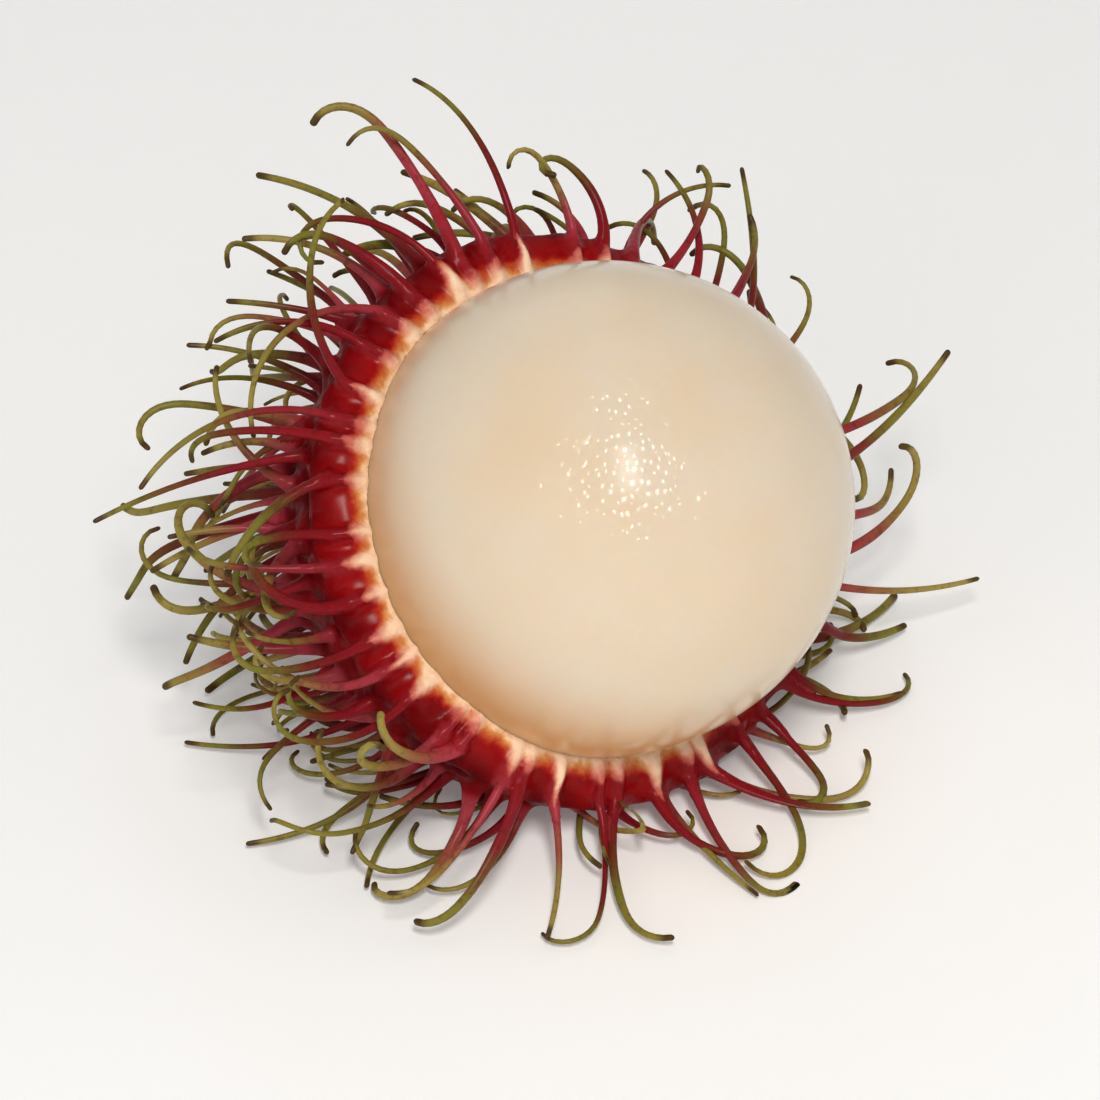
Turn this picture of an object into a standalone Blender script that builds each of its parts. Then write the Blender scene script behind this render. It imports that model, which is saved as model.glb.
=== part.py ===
"""A half-peeled rambutan, lying on a flat surface.

The fruit has been cut round its middle and one half of the rind lifted off. The other half is a
thick cup that still holds the white, translucent flesh, and its outside is covered in long soft
spines. Two solids are built: "rind", the cup with its spines grown from it, and "aril", the flesh.

The fruit frame has its origin at the fruit's centre and +Z along the opening's axis. FRUIT_TO_ROW
leans it over, so that the cup opens towards -Y and upwards, and puts the small flat spot that the
rind lies on at the origin of the row frame.
"""

import math
import random

import bmesh
import bpy
from mathutils import Matrix, Vector

MM = 0.001

# The flesh
ARIL_RADIUS = 15.75 * MM  # across the opening
ARIL_HALF_LENGTH = 17.2 * MM  # along the opening's axis
FIT_GAP = 0.4 * MM  # between the flesh and the inside of the cup

# The rind
RIND_THICKNESS = 2.1 * MM
RIM_HEIGHT = -2.5 * MM  # the cut, behind the fruit's centre: the flesh stands out by more than half
RIM_WAVES = ((2, 0.35 * MM, 0.7), (5, 0.18 * MM, 2.1), (9, 0.08 * MM, 0.4))  # count, height, phase
RIM_WAVE_DEPTH = 7.0 * MM  # how far below the cut the waves die out
OPENING_ELEVATION = math.radians(40.5)  # of the opening's axis above the surface
FLAT_DEPTH = 0.5 * MM  # how much of the rind's curve is pressed flat

# The scar at the closed end, where the fruit was picked from its stalk
SCAR_RADIUS = 2.0 * MM
SCAR_HEIGHT = 0.8 * MM
SCAR_CLEARING = 3.4 * MM  # no spine grows this near to its middle

# The spines: a row along the cut, and below it a spiral lattice made for the whole fruit
RIM_SPINES = 46
RIM_SPINE_DEPTH = (0.25 * MM, 0.85 * MM)  # of their roots below the cut
LATTICE_DEPTH = 3.0 * MM  # of the lattice's first roots below the cut
WHOLE_FRUIT_SPINES = 370
SPINE_JITTER = 0.35  # of the lattice's spacing
SPINE_LENGTH = (9.0 * MM, 15.4 * MM)
SPINE_LEAN = 0.55  # most, sideways, as a tangent
SPINE_BEND = (math.radians(20), math.radians(120))  # over the whole length
SPINE_HOOK = (math.radians(40), math.radians(160))  # more bend, near the tip
HOOKED_SHARE = 0.62
HOOK_START = 0.6  # of the length
CLOCKWISE_ARC = (math.radians(160), math.radians(245))  # round the opening, where they curl that way
STRAY_SHARE = 0.13  # of spines that curl against their neighbours
SPINE_WOBBLE = 0.6  # of the axis that a spine curls round
LYING_ROOT = 7.0 * MM  # below this height, spines curl along the surface that the fruit lies on
ROOT_DEPTH = 1.2 * MM  # below the rind's surface
SHAFT_RADIUS = 0.44 * MM
TIP_RADIUS = 0.23 * MM
FLARE_RADIUS = 1.0 * MM  # added to the shaft's where it leaves the rind
FLARE_LENGTH = 1.1 * MM
LOWEST_ROOT = 0.7 * MM  # above the surface that the fruit lies on
FLOOR_GAP = 0.12 * MM  # below the spines that lie along that surface
FLOOR_REACH = 4.0 * MM  # how far ahead a spine turns away from it
STEP = 0.5 * MM  # along a spine's path
CUT_MARGIN = 0.1 * MM  # how far below the cut the spines are kept
RIM_SEED, PATH_SEED = 5000, 1000  # of the draws for the row's places and for the spines' paths

# Facets
TURN_STEPS = 36
OUTER_RINGS = 8
INNER_RINGS = 6
SPINE_SIDES = 3
SECTION_RADIUS = 1.3  # of the few-sided section, against the round one that it stands for
SPINE_STATIONS = (0.0, 0.14, 0.4, 0.67, 0.85, 1.0)  # of the length outside the rind

INNER_RADIUS = ARIL_RADIUS + FIT_GAP
INNER_HALF_LENGTH = ARIL_HALF_LENGTH + FIT_GAP
OUTER_RADIUS = INNER_RADIUS + RIND_THICKNESS
OUTER_HALF_LENGTH = INNER_HALF_LENGTH + RIND_THICKNESS
OPENING_AXIS = Vector((0, -math.cos(OPENING_ELEVATION), math.sin(OPENING_ELEVATION)))


def fruit_to_row():
    """The fruit frame's place in the row frame, with the rind's lowest point just below the origin."""
    turn = Matrix.Rotation(math.pi / 2 - OPENING_ELEVATION, 4, "X")
    down = turn.inverted() @ Vector((0, 0, -1))
    spread = Vector((down.x * OUTER_RADIUS, down.y * OUTER_RADIUS, down.z * OUTER_HALF_LENGTH))
    lowest = Vector((spread.x * OUTER_RADIUS, spread.y * OUTER_RADIUS, spread.z * OUTER_HALF_LENGTH))
    lowest = turn @ (lowest / spread.length)
    return Matrix.Translation(Vector((0, 0, -FLAT_DEPTH)) - lowest) @ turn


FRUIT_TO_ROW = fruit_to_row()


def clear_scene():
    for obj in list(bpy.data.objects):
        bpy.data.objects.remove(obj, do_unlink=True)


def new_collection(name):
    collection = bpy.data.collections.new(name)
    bpy.context.scene.collection.children.link(collection)
    return collection


def new_object(name, data, collection):
    obj = bpy.data.objects.new(name, data)
    collection.objects.link(obj)
    return obj


def finish(name, colour, roughness):
    """A plain material of one colour."""
    material = bpy.data.materials.new(name)
    material.use_nodes = True
    shader = material.node_tree.nodes["Principled BSDF"]
    shader.inputs["Base Color"].default_value = (*colour, 1)
    shader.inputs["Roughness"].default_value = roughness
    shader.inputs["Metallic"].default_value = 0
    return material


def baked(obj):
    """The object's mesh with its modifiers applied, its loose caps welded, in the object's place."""
    graph = bpy.context.evaluated_depsgraph_get()
    mesh = bpy.data.meshes.new_from_object(obj.evaluated_get(graph))
    mesh.transform(obj.matrix_world)
    cage = bmesh.new()
    cage.from_mesh(mesh)
    bmesh.ops.remove_doubles(cage, verts=cage.verts, dist=0.001 * MM)
    bmesh.ops.recalc_face_normals(cage, faces=cage.faces)
    cage.to_mesh(mesh)
    cage.free()
    return mesh


def rim_wave(angle):
    """How far the hand-made cut strays from a plane, at this angle round the opening."""
    return sum(height * math.sin(count * angle + phase) for count, height, phase in RIM_WAVES)


def arc_down(radius, half_length, top, rings):
    """Points of an ellipse from the height `top` down to its lowest point, on the axis."""
    start = math.asin(top / half_length)
    for ring in range(rings + 1):
        turned = start - (start + math.pi / 2) * ring / rings
        yield Vector((radius * math.cos(turned), 0, half_length * math.sin(turned)))


def cup(collection):
    """The thick cup of the rind as a turned profile, with its cut edge made wavy."""
    inner = list(arc_down(INNER_RADIUS, INNER_HALF_LENGTH, RIM_HEIGHT, INNER_RINGS))[::-1]
    outer = list(arc_down(OUTER_RADIUS, OUTER_HALF_LENGTH, RIM_HEIGHT, OUTER_RINGS))
    inner[0].x = outer[-1].x = 0
    points = inner + outer
    mesh = bpy.data.meshes.new("cup profile")
    mesh.from_pydata(points, [(i, i + 1) for i in range(len(points) - 1)], [])
    turned = new_object("cup profile", mesh, collection)
    screw = turned.modifiers.new("turn", "SCREW")
    screw.steps = screw.render_steps = TURN_STEPS
    screw.use_merge_vertices = True
    screw.merge_threshold = 0.01 * MM
    bpy.context.view_layer.update()
    mesh = baked(turned)
    bpy.data.objects.remove(turned)
    for vertex in mesh.vertices:
        share = max(0.0, 1 - (RIM_HEIGHT - vertex.co.z) / RIM_WAVE_DEPTH)
        vertex.co.z += share * rim_wave(math.atan2(vertex.co.y, vertex.co.x))
    return mesh


def on_rind(angle, height):
    """The point of the rind's outside at this angle and share of its half length, and its normal."""
    across = math.sqrt(1 - height**2)
    round_axis = Vector((math.cos(angle) * across, math.sin(angle) * across, height))
    scale = Vector((OUTER_RADIUS, OUTER_RADIUS, OUTER_HALF_LENGTH))
    root = Vector(map(float.__mul__, round_axis, scale))
    normal = Vector((round_axis.x / scale.x, round_axis.y / scale.y, round_axis.z / scale.z))
    return root, normal.normalized()


def rim_row():
    """(number, root, normal) of each spine in the row along the cut, in the fruit frame."""
    for place in range(RIM_SPINES):
        draw = random.Random(RIM_SEED + place)
        angle = 2 * math.pi * (place + draw.uniform(-1, 1) * SPINE_JITTER) / RIM_SPINES
        height = RIM_HEIGHT + rim_wave(angle) - draw.uniform(*RIM_SPINE_DEPTH)
        yield WHOLE_FRUIT_SPINES + place, *on_rind(angle, height / OUTER_HALF_LENGTH)


def lattice():
    """(number, root, normal) of each spine below that row, in the fruit frame: a jittered spiral."""
    golden = math.pi * (3 - math.sqrt(5))
    spacing = math.sqrt(4 * math.pi / WHOLE_FRUIT_SPINES)  # on a sphere of radius 1
    for number in range(WHOLE_FRUIT_SPINES):
        draw = random.Random(number)
        height = 1 - 2 * (number + 0.5) / WHOLE_FRUIT_SPINES
        height += draw.uniform(-1, 1) * SPINE_JITTER * spacing * math.sqrt(1 - height**2)
        height = min(1.0, max(-1.0, height))
        across = math.sqrt(1 - height**2)
        angle = number * golden + draw.uniform(-1, 1) * SPINE_JITTER * spacing / max(across, spacing)
        root, normal = on_rind(angle, height)
        below_rim = RIM_HEIGHT + rim_wave(angle) - root.z >= LATTICE_DEPTH
        on_scar = root.z < 0 and math.hypot(root.x, root.y) < SCAR_CLEARING
        on_surface = (FRUIT_TO_ROW @ root).z < LOWEST_ROOT
        if below_rim and not on_scar and not on_surface:
            yield number, root, normal


def off_surface(point, direction, clearance):
    """The direction, turned to run along the surface that the fruit lies on rather than into it."""
    steepest = max(-0.9, min(0.9, (clearance - point.z) / FLOOR_REACH))
    if direction.z >= steepest:
        return direction
    level = Vector((direction.x, direction.y, 0))
    away = Vector((point.x, point.y, 0)).normalized()
    level = (level + away * (1 - level.length)).normalized() * math.sqrt(1 - steepest**2)
    return level + Vector((0, 0, steepest))


def spine_path(number, root, normal):
    """Points of a spine in the row frame, one STEP apart, from the rind's surface to the tip.

    A spine leaves the rind nearly square to it, bends gently, and most curl into a hook near the
    tip. Seen from the open side, those in CLOCKWISE_ARC curl clockwise and the rest the other way.
    """
    draw = random.Random(PATH_SEED + number)
    turn = FRUIT_TO_ROW.to_3x3()
    length = draw.uniform(*SPINE_LENGTH)
    aside = Vector((draw.gauss(0, 1), draw.gauss(0, 1), draw.gauss(0, 1))).cross(normal).normalized()
    direction = (turn @ (normal + aside * draw.uniform(0, SPINE_LEAN))).normalized()
    point = FRUIT_TO_ROW @ root
    around = math.atan2(normal.y, normal.x) % (2 * math.pi)
    clockwise = CLOCKWISE_ARC[0] < around < CLOCKWISE_ARC[1]
    if draw.random() < STRAY_SHARE:
        clockwise = not clockwise
    curl = Vector((0, 0, 1)) if point.z < LYING_ROOT else OPENING_AXIS
    wobble = Vector((draw.uniform(-1, 1), draw.uniform(-1, 1), draw.uniform(-1, 1)))
    axis = (curl * (-1 if clockwise else 1) + wobble * SPINE_WOBBLE).normalized()
    bend = draw.uniform(*SPINE_BEND)
    hook = draw.uniform(*SPINE_HOOK) if draw.random() < HOOKED_SHARE else 0.0
    points = [point]
    steps = round(length / STEP)
    for step in range(steps):
        along = (step + 0.5) / steps
        in_hook = max(0.0, along - HOOK_START) / (1 - HOOK_START)
        turning = (bend + 2 * in_hook * hook / (1 - HOOK_START)) / steps
        direction = Matrix.Rotation(turning, 3, axis) @ direction
        direction = off_surface(point, direction, FLOOR_GAP + spine_radius(along, length)).normalized()
        point = point + direction * (length / steps)
        points.append(point)
    return points, turn @ normal


def spine_radius(along, length):
    """A spine's radius at a share of its length: flared at the rind, then a slow taper."""
    shaft = SHAFT_RADIUS + (TIP_RADIUS - SHAFT_RADIUS) * along**0.7
    return shaft + FLARE_RADIUS * math.exp(-along * length / FLARE_LENGTH)


def spine_section():
    """The guide that gives each spine its few sides: a polygon a little wider than the round spine."""
    curve = bpy.data.curves.new("spine section", "CURVE")
    spline = curve.splines.new("POLY")
    spline.points.add(SPINE_SIDES - 1)
    for side, point in enumerate(spline.points):
        angle = 2 * math.pi * side / SPINE_SIDES
        point.co = (SECTION_RADIUS * math.cos(angle), SECTION_RADIUS * math.sin(angle), 0, 1)
    spline.use_cyclic_u = True
    guide = new_object("spine section", curve, bpy.context.scene.collection)
    guide.hide_render = True
    return guide


def spine_curve(number, root, normal, section, collection):
    """One spine as a tapered tube along its path, its root sunk in the rind."""
    path, outwards = spine_path(number, root, normal)
    length = (len(path) - 1) * STEP
    points = [(path[0] - outwards * ROOT_DEPTH, SHAFT_RADIUS)]
    for station in SPINE_STATIONS:
        at = station * (len(path) - 1)
        first = min(int(at), len(path) - 2)
        points.append((path[first].lerp(path[first + 1], at - first), spine_radius(station, length)))
    curve = bpy.data.curves.new(f"spine {number}", "CURVE")
    curve.dimensions = "3D"
    curve.bevel_mode = "OBJECT"
    curve.bevel_object = section
    curve.use_fill_caps = True
    spline = curve.splines.new("POLY")
    spline.points.add(len(points) - 1)
    for target, (point, radius) in zip(spline.points, points):
        target.co = (*point, 1)
        target.radius = radius
    return new_object(f"spine {number}", curve, collection)


def spines(collection):
    """The spines of the solid as meshes, each kept below the cut and above the surface it lies on."""
    section = spine_section()
    curves = [spine_curve(*item, section, collection) for item in (*rim_row(), *lattice())]
    bpy.context.view_layer.update()
    to_fruit = FRUIT_TO_ROW.inverted()
    for curve in curves:
        mesh = baked(curve)
        for vertex in mesh.vertices:
            fruit = to_fruit @ vertex.co
            highest = RIM_HEIGHT + rim_wave(math.atan2(fruit.y, fruit.x)) - CUT_MARGIN
            if math.hypot(fruit.x, fruit.y) < OUTER_RADIUS + MM and fruit.z > highest:
                fruit.z = highest
                vertex.co = FRUIT_TO_ROW @ fruit
            vertex.co.z = max(vertex.co.z, FLOOR_GAP)
        name = curve.name
        bpy.data.objects.remove(curve)
        new_object(name, mesh, collection)
    bpy.data.objects.remove(section)


def scar(collection):
    """The low woody boss at the closed end."""
    mesh = bpy.data.meshes.new("scar")
    cage = bmesh.new()
    depth = ROOT_DEPTH + SCAR_HEIGHT
    middle = Matrix.Translation((0, 0, -OUTER_HALF_LENGTH - SCAR_HEIGHT + depth / 2))
    bmesh.ops.create_cone(
        cage,
        cap_ends=True,
        segments=10,
        radius1=0.7 * SCAR_RADIUS,
        radius2=SCAR_RADIUS,
        depth=depth,
        matrix=FRUIT_TO_ROW @ middle,
    )
    cage.to_mesh(mesh)
    cage.free()
    return new_object("scar", mesh, collection)


def boolean(obj, operation, solver, **operand):
    """A Boolean on the object, applied."""
    modifier = obj.modifiers.new(operation.lower(), "BOOLEAN")
    modifier.operation = operation
    modifier.solver = solver
    for key, value in operand.items():
        setattr(modifier, key, value)
    bpy.context.view_layer.update()
    obj.data = baked(obj)
    obj.modifiers.clear()


def rind(parts, helpers):
    """The cup with its spines and scar grown from it, pressed flat where it lies."""
    mesh = cup(helpers)
    mesh.transform(FRUIT_TO_ROW)
    obj = new_object("rind", mesh, parts)
    growths = new_collection("growths")
    spines(growths)
    scar(growths)
    boolean(obj, "UNION", "MANIFOLD", operand_type="COLLECTION", collection=growths)
    for growth in list(growths.objects):
        bpy.data.objects.remove(growth)
    bpy.data.collections.remove(growths)
    bpy.ops.mesh.primitive_cube_add(size=OUTER_RADIUS, location=(0, 0, -OUTER_RADIUS / 2))
    below = bpy.context.object
    below.hide_render = True
    below.display_type = "WIRE"
    boolean(obj, "DIFFERENCE", "EXACT", object=below)
    bpy.data.objects.remove(below)
    obj.data.shade_smooth()
    obj.data.set_sharp_from_angle(angle=math.radians(50))
    obj.data.materials.clear()
    obj.data.materials.append(finish("rind red", (0.45, 0.02, 0.03), 0.45))
    return obj


def aril(parts):
    """The flesh: one smooth solid, a little longer than it is wide."""
    mesh = bpy.data.meshes.new("aril")
    cage = bmesh.new()
    bmesh.ops.create_uvsphere(cage, u_segments=28, v_segments=16, radius=1)
    cage.to_mesh(mesh)
    cage.free()
    size = Matrix.Diagonal((ARIL_RADIUS, ARIL_RADIUS, ARIL_HALF_LENGTH, 1))
    mesh.transform(size)
    mesh.shade_smooth()
    obj = new_object("aril", mesh, parts)
    obj.matrix_world = FRUIT_TO_ROW
    obj.data.materials.append(finish("flesh", (0.8, 0.7, 0.52), 0.2))
    return obj


def main():
    clear_scene()
    parts = new_collection("rambutan")
    helpers = new_collection("helpers")
    rind(parts, helpers)
    aril(parts)
    bpy.data.collections.remove(helpers)


main()
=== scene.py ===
"""The looks of the half-peeled rambutan: fine meshes and materials in place of the plain solids.

Everything is laid out in the fruit frame, as in the part's source: the origin at the fruit's centre
and +Z along the opening's axis. FRUIT_TO_ROW takes it to the row frame, where it lies on z = 0.
"""

import math
import random

import bpy
import numpy as np
from mathutils import Matrix, Vector, kdtree, noise


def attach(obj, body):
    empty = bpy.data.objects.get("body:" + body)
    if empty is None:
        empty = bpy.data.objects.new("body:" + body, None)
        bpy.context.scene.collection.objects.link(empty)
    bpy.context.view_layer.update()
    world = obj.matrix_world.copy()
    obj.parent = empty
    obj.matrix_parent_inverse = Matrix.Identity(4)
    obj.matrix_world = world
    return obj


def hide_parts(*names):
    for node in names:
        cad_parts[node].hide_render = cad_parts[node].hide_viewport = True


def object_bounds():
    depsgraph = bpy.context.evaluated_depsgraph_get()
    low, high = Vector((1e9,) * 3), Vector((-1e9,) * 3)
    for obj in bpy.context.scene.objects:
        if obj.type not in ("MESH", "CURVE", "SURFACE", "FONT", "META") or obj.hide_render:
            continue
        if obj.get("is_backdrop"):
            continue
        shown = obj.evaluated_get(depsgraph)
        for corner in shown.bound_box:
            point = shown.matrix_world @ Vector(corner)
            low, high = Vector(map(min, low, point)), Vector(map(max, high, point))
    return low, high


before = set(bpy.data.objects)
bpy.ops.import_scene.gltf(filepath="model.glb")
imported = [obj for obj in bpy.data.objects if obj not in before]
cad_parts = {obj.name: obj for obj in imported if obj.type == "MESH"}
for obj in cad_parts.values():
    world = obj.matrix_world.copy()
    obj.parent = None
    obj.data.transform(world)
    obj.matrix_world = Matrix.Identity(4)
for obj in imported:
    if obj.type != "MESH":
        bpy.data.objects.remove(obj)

CAD_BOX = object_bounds()
MM = 0.001

# The flesh and the rind, as in the part's source
ARIL_RADIUS = 15.75 * MM
ARIL_HALF_LENGTH = 17.2 * MM
FIT_GAP = 0.4 * MM
RIND_THICKNESS = 2.1 * MM
RIM_HEIGHT = -2.5 * MM
RIM_WAVES = ((2, 0.35 * MM, 0.7), (5, 0.18 * MM, 2.1), (9, 0.08 * MM, 0.4))
RIM_WAVE_DEPTH = 7.0 * MM
OPENING_ELEVATION = math.radians(40.5)
FLAT_DEPTH = 0.5 * MM
SCAR_RADIUS = 2.0 * MM
SCAR_HEIGHT = 0.8 * MM
SCAR_CLEARING = 3.4 * MM

# The spines, as in the part's source
RIM_SPINES = 46
RIM_SPINE_DEPTH = (0.25 * MM, 0.85 * MM)
LATTICE_DEPTH = 3.0 * MM
WHOLE_FRUIT_SPINES = 370
SPINE_JITTER = 0.35
SPINE_LENGTH = (9.0 * MM, 15.4 * MM)
SPINE_LEAN = 0.55
SPINE_BEND = (math.radians(20), math.radians(120))
SPINE_HOOK = (math.radians(40), math.radians(160))
HOOKED_SHARE = 0.62
HOOK_START = 0.6
CLOCKWISE_ARC = (math.radians(160), math.radians(245))
STRAY_SHARE = 0.13
SPINE_WOBBLE = 0.6
LYING_ROOT = 7.0 * MM
SHAFT_RADIUS = 0.44 * MM
TIP_RADIUS = 0.23 * MM
FLARE_RADIUS = 1.0 * MM
FLARE_LENGTH = 1.1 * MM
LOWEST_ROOT = 0.7 * MM
FLOOR_GAP = 0.12 * MM
FLOOR_REACH = 4.0 * MM
STEP = 0.5 * MM
RIM_SEED = 5000
PATH_SEED = 1000

INNER_RADIUS = ARIL_RADIUS + FIT_GAP
INNER_HALF_LENGTH = ARIL_HALF_LENGTH + FIT_GAP
OUTER_RADIUS = INNER_RADIUS + RIND_THICKNESS
OUTER_HALF_LENGTH = INNER_HALF_LENGTH + RIND_THICKNESS
OPENING_AXIS = Vector((0, -math.cos(OPENING_ELEVATION), math.sin(OPENING_ELEVATION)))

# Finer than the solids
SPINE_SIDES = 10
ROOT_RINGS = (-0.9 * MM, -0.45 * MM)  # distances along the spine, inside the rind
TIP_RINGS = 4  # of a spine's rounded end
RIND_COLUMNS = 540
OUTER_ROWS = 100
CUT_ROWS = 14
INNER_ROWS = 12
LIP_BITE = 0.38 * MM  # of the cut's inner edge into the soft flesh
SHOULDER_DROP = 1.5 * MM  # of the cut's outer edge between the spines
MOUND, RIM_MOUND = 0.95 * MM, 0.6 * MM  # how far the rind rises to each spine, and by the cut
MOUND_WIDTH = 1.25 * MM
WEB, RIM_WEB = 0.62 * MM, 0.55 * MM  # and along the webs between them
WEB_WIDTH = 0.5 * MM
WEB_REACH = 4.4 * MM  # between the spines that a web joins, at most
RIB_RADIUS = 0.33 * MM  # of the ridge from the cut's inner edge to a spine beside it
RIB_SHARES = (0.14, 0.4, 0.68)  # of the way
RIB_RISE = 0.25 * MM  # of a ridge above the skin at its foot
FOOT_RADIUS = 0.6 * MM  # added to a spine's where it leaves the rind
RIM_SLIMNESS = 0.14  # of the flare and the foot of a spine beside the cut
FOOT_LENGTH = 0.7 * MM
STUB_LENGTH = 3.5 * MM  # of a spine, fused with the rind
TOOTH_STRENGTH = (0.1, 0.95)  # of the cream streaks up the ridges
CUT_SOFTNESS = 0.2 * MM  # of the bend where a spine's root is pressed down to the cut
CUT_SLOPES = (0.3, 0.7)  # of what presses it down, on the cut and outside the rind
CUT_SINK = 0.2 * MM  # of that, below the cut
CREAM_WIDTH = 0.45  # mm, of the cream along the cut's inner edge
TOOTH_CREAM = 2.5  # mm, more of it where a ridge is strongest
RIPENING = 1.7  # mm, from the cream to the red
VOXEL = 0.25 * MM  # of the fused skin
FACES_KEPT = 0.75  # of the fused skin's, the fewest where it is smooth
FINE_SPINES = 620  # more of them on a whole fruit, thinner and shorter
FINE_FIRST = 20000  # the number of the first
FINE_SCALE = 0.78
THICKNESS = (0.66, 1.08)  # of a spine, against the solid's
FINE_ROOM = 1.25 * MM  # from one of them to the nearest other spine

# Seeds of what only the scene draws
TOOTH_SEED = 6000
TONE_SEED = 7000
THICKNESS_SEED = 8000
SECTION_SEED = 9000

# The middle of the patch of juice beads on the flesh, as a direction from the fruit's centre
JUICE_MIDDLE = np.array([-0.411, -0.576, 0.707])

# The camera
CAMERA_AZIMUTH = math.radians(-43)
CAMERA_ELEVATION = math.radians(38)
CAMERA_DISTANCE = 0.45
FRAME_WIDTH = 70 * MM  # what the camera sees across, at the fruit
SENSOR_WIDTH = 36.0  # mm
AIM_LEFT = 3.2 * MM  # of the fruit's centre
AIM_DOWN = 2.6 * MM


def fruit_to_row():
    """The fruit frame's place in the row frame, as in the part's source."""
    turn = Matrix.Rotation(math.pi / 2 - OPENING_ELEVATION, 4, "X")
    down = turn.inverted() @ Vector((0, 0, -1))
    spread = Vector((down.x * OUTER_RADIUS, down.y * OUTER_RADIUS, down.z * OUTER_HALF_LENGTH))
    lowest = Vector((spread.x * OUTER_RADIUS, spread.y * OUTER_RADIUS, spread.z * OUTER_HALF_LENGTH))
    lowest = turn @ (lowest / spread.length)
    return Matrix.Translation(Vector((0, 0, -FLAT_DEPTH)) - lowest) @ turn


FRUIT_TO_ROW = fruit_to_row()
TO_ROW = np.array(FRUIT_TO_ROW)
TO_FRUIT = np.array(FRUIT_TO_ROW.inverted())


def moved(matrix, points):
    """An array of points through a 4 x 4 matrix."""
    return points @ matrix[:3, :3].T + matrix[:3, 3]


def smooth_step(low, high, value):
    """0 below low, 1 above high, and smooth in between."""
    share = np.clip((value - low) / (high - low), 0, 1)
    return share * share * (3 - 2 * share)


# ---------------------------------------------------------------- the spines' places and paths


def rim_wave(angle):
    """How far the hand-made cut strays from a plane, at this angle round the opening."""
    return sum(height * np.sin(count * angle + phase) for count, height, phase in RIM_WAVES)


def on_rind(angle, height):
    """The point of the rind's outside at this angle and share of its half length, and its normal."""
    across = math.sqrt(1 - height**2)
    round_axis = Vector((math.cos(angle) * across, math.sin(angle) * across, height))
    scale = Vector((OUTER_RADIUS, OUTER_RADIUS, OUTER_HALF_LENGTH))
    root = Vector(map(float.__mul__, round_axis, scale))
    normal = Vector((round_axis.x / scale.x, round_axis.y / scale.y, round_axis.z / scale.z))
    return root, normal.normalized()


def rim_row():
    """(number, root, normal) of each spine in the row along the cut, in the fruit frame."""
    for place in range(RIM_SPINES):
        draw = random.Random(RIM_SEED + place)
        angle = 2 * math.pi * (place + draw.uniform(-1, 1) * SPINE_JITTER) / RIM_SPINES
        height = RIM_HEIGHT + rim_wave(angle) - draw.uniform(*RIM_SPINE_DEPTH)
        yield WHOLE_FRUIT_SPINES + place, *on_rind(angle, height / OUTER_HALF_LENGTH)


def lattice(count, first):
    """(number, root, normal) of each spine below that row, in the fruit frame: a jittered spiral."""
    golden = math.pi * (3 - math.sqrt(5))
    spacing = math.sqrt(4 * math.pi / count)
    for number in range(count):
        draw = random.Random(first + number)
        height = 1 - 2 * (number + 0.5) / count
        height += draw.uniform(-1, 1) * SPINE_JITTER * spacing * math.sqrt(1 - height**2)
        height = min(1.0, max(-1.0, height))
        across = math.sqrt(1 - height**2)
        angle = number * golden + draw.uniform(-1, 1) * SPINE_JITTER * spacing / max(across, spacing)
        root, normal = on_rind(angle, height)
        below_rim = RIM_HEIGHT + rim_wave(angle) - root.z >= LATTICE_DEPTH
        on_scar = root.z < 0 and math.hypot(root.x, root.y) < SCAR_CLEARING
        on_surface = (FRUIT_TO_ROW @ root).z < LOWEST_ROOT
        if below_rim and not on_scar and not on_surface:
            yield first + number, root, normal


def fine_lattice():
    """The same for the thin spines, where they have room."""
    taken = [root for _, root, _ in ROOTS]
    for number, root, normal in lattice(FINE_SPINES, FINE_FIRST):
        if min((root - other).length for other in taken) > FINE_ROOM:
            yield number, root, normal


def off_surface(point, direction, clearance):
    """The direction, turned to run along the surface that the fruit lies on rather than into it."""
    steepest = max(-0.9, min(0.9, (clearance - point.z) / FLOOR_REACH))
    if direction.z >= steepest:
        return direction
    level = Vector((direction.x, direction.y, 0))
    away = Vector((point.x, point.y, 0)).normalized()
    level = (level + away * (1 - level.length)).normalized() * math.sqrt(1 - steepest**2)
    return level + Vector((0, 0, steepest))


def spine_radius(along, length):
    """A spine's radius at a share of its length: flared at the rind, then a slow taper."""
    shaft = SHAFT_RADIUS + (TIP_RADIUS - SHAFT_RADIUS) * max(along, 0) ** 0.7
    return shaft + FLARE_RADIUS * math.exp(-along * length / FLARE_LENGTH)


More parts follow.
